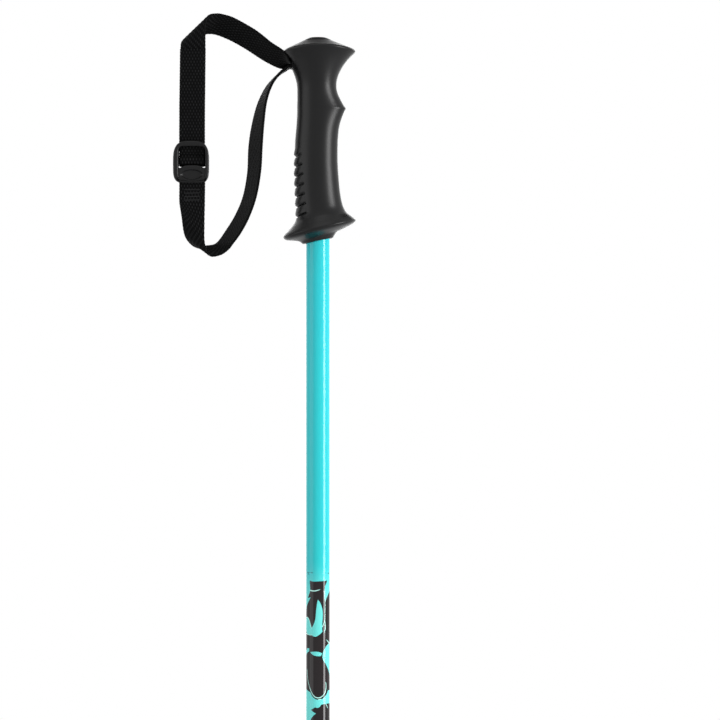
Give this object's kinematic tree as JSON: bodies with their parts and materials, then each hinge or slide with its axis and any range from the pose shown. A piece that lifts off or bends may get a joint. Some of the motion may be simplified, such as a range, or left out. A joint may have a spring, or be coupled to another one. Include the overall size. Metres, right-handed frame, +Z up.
{
  "type": "ski pole",
  "caption": "Junior alpine ski pole: painted tube, moulded one-finger grip, adjustable webbing wrist strap with a ladder buckle, round snow basket and steel point.",
  "frame": {"origin": "centre of the steel point's flat end", "axes": "+Z up the shaft to the crown of the grip, +X towards the front of the grip where the fingers wrap, strap towards -X"},
  "size_m": [0.112, 0.055, 0.9143],
  "materials": {
    "shaft_paint": "gloss turquoise paint with a black pattern on its lower part",
    "grip_plastic": "satin",
    "webbing": "woven nylon",
    "black_plastic": "satin",
    "steel": "zinc plated",
    "natural_nylon": "moulded"
  },
  "bodies": {
    "pole": {"shaft_tube": "shaft_paint", "tube_plug": "natural_nylon", "grip_body": "grip_plastic", "grip_cap": "grip_plastic", "strap_screw": "steel", "strap_washer": "steel", "strap_end_tab": "webbing", "tip_ferrule": "black_plastic", "tip_point": "steel"},
    "strap": {"strap_upper": "webbing", "strap_lower": "webbing"},
    "buckle": {"strap_buckle": "black_plastic"},
    "snow_basket": {"basket": "black_plastic"}
  },
  "joints": [
    {"name": "strap_swing", "type": "hinge", "parent": "pole", "child": "strap", "pos_m": [-0.0168, 0, 0.8834], "axis": [0, 1, 0], "range_deg": [-12, 14], "stiffness_Nm_per_rad": 0.12, "springref_deg": 1.72},
    {"name": "buckle_slide", "type": "slide", "parent": "strap", "child": "buckle", "axis": [0, 0, 1], "range_m": [-0.01, 0.018]},
    {"name": "basket_spin", "type": "hinge", "parent": "pole", "child": "snow_basket", "pos_m": [0, 0, 0.0695], "axis": [0, 0, 1], "continuous": true}
  ]
}
